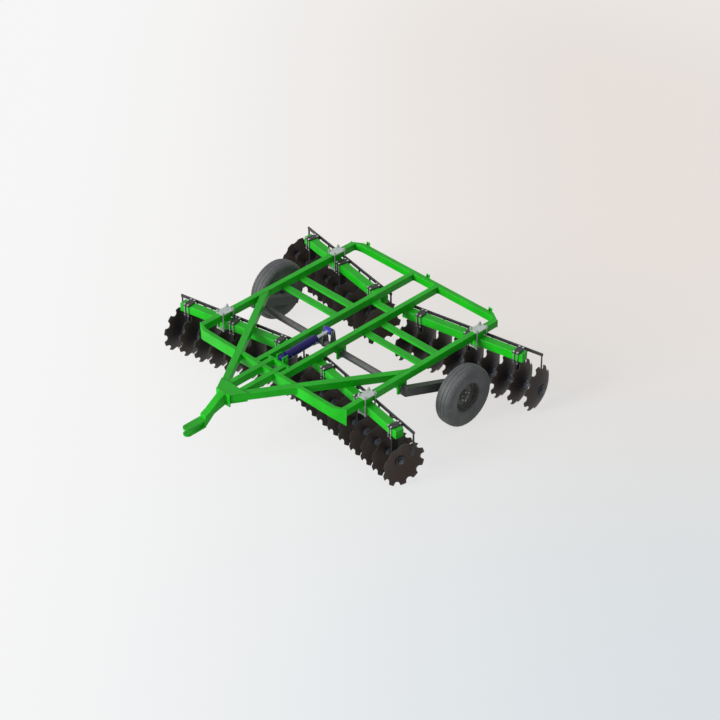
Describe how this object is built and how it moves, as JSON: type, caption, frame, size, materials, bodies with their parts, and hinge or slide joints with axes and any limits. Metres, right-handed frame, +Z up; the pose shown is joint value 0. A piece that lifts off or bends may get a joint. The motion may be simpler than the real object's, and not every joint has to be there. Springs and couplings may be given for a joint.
{
  "type": "trailed disc harrow",
  "caption": "Trailed tandem disc harrow: four slanted gangs of notched discs under a welded green frame, with two lift wheels, a hydraulic cylinder and a drawbar clevis.",
  "frame": {"origin": "on the ground, at the middle of the machine's overall length and width", "axes": "+X to the machine's left, -Y towards the hitch and the direction of travel, +Z up"},
  "size_m": [4.4954, 4.2671, 0.9395],
  "materials": {
    "green_paint": "gloss paint",
    "black_paint": "satin paint",
    "grey_paint": "satin paint",
    "blue_paint": "gloss paint",
    "disc_steel": "dark rolled steel",
    "spool_steel": "cast, dark",
    "zinc_steel": "zinc plated",
    "chrome": "hard chrome",
    "tyre": "matt rubber"
  },
  "bodies": {
    "frame": {"anchor": "green_paint", "centre_member": "green_paint", "centre_rails": "green_paint", "clevis": "green_paint", "cross_members_left": "green_paint", "cross_members_right": "green_paint", "diagonal_left": "green_paint", "diagonal_right": "green_paint", "front_bar": "green_paint", "gang_beam_front_left": "green_paint", "gang_beam_front_right": "green_paint", "gang_beam_rear_left": "green_paint", "gang_beam_rear_right": "green_paint", "hangers_front_left": "black_paint", "hangers_front_right": "black_paint", "hangers_rear_left": "black_paint", "hangers_rear_right": "black_paint", "nose": "green_paint", "rail_clamps_left": "zinc_steel", "rail_clamps_right": "zinc_steel", "rear_beam": "green_paint", "scrapers_front_left": "grey_paint", "scrapers_front_right": "grey_paint", "scrapers_rear_left": "grey_paint", "scrapers_rear_right": "grey_paint", "shaft_bearings": "grey_paint", "side_rail_left": "green_paint", "side_rail_right": "green_paint", "tongue": "green_paint", "tongue_bars": "green_paint"},
    "gang_front_left": {"discs_front_left": "disc_steel", "axle_front_left": "spool_steel"},
    "gang_front_right": {"discs_front_right": "disc_steel", "axle_front_right": "spool_steel"},
    "gang_rear_left": {"discs_rear_left": "disc_steel", "axle_rear_left": "spool_steel"},
    "gang_rear_right": {"discs_rear_right": "disc_steel", "axle_rear_right": "spool_steel"},
    "lift": {"lift_shaft": "grey_paint"},
    "wheel_left": {"tyre_left": "tyre", "rim_left": "grey_paint"},
    "wheel_right": {"tyre_right": "tyre", "rim_right": "grey_paint"},
    "ram_barrel": {"barrel": "blue_paint"},
    "ram_rod": {"rod": "chrome"}
  },
  "joints": [
    {"name": "gang_front_left_spin", "type": "hinge", "parent": "frame", "child": "gang_front_left", "pos_m": [0, -0.0676, 0.305], "axis": [0.9829, -0.184, 0], "continuous": true},
    {"name": "gang_front_right_spin", "type": "hinge", "parent": "frame", "child": "gang_front_right", "pos_m": [0, -0.0676, 0.305], "axis": [0.9829, 0.184, 0], "continuous": true},
    {"name": "gang_rear_left_spin", "type": "hinge", "parent": "frame", "child": "gang_rear_left", "pos_m": [0, 1.4364, 0.305], "axis": [0.9829, 0.184, 0], "continuous": true},
    {"name": "gang_rear_right_spin", "type": "hinge", "parent": "frame", "child": "gang_rear_right", "pos_m": [0, 1.4364, 0.305], "axis": [0.9829, -0.184, 0], "continuous": true},
    {"name": "lift_swing", "type": "hinge", "parent": "frame", "child": "lift", "pos_m": [0, 0.2964, 0.663], "axis": [1, 0, 0], "range_deg": [-41, 8]},
    {"name": "wheel_left_spin", "type": "hinge", "parent": "lift", "child": "wheel_left", "pos_m": [1.668, 0.97262, 0.41], "axis": [1, 0, 0], "continuous": true},
    {"name": "wheel_right_spin", "type": "hinge", "parent": "lift", "child": "wheel_right", "pos_m": [-1.668, 0.97262, 0.41], "axis": [1, 0, 0], "continuous": true},
    {"name": "ram_tilt", "type": "hinge", "parent": "frame", "child": "ram_barrel", "pos_m": [0, -0.5036, 0.87], "axis": [1, 0, 0], "range_deg": [-3.2, 0.7]},
    {"name": "ram_slide", "type": "slide", "parent": "ram_barrel", "child": "ram_rod", "axis": [0, 0.9997, 0.0225], "range_m": [-0.031, 0.153]}
  ],
  "couplings": [
    {"joint": "ram_tilt", "follows": "lift_swing", "ratio": 0.075},
    {"joint": "ram_slide", "follows": "lift_swing", "m_per_rad": -0.2115}
  ]
}
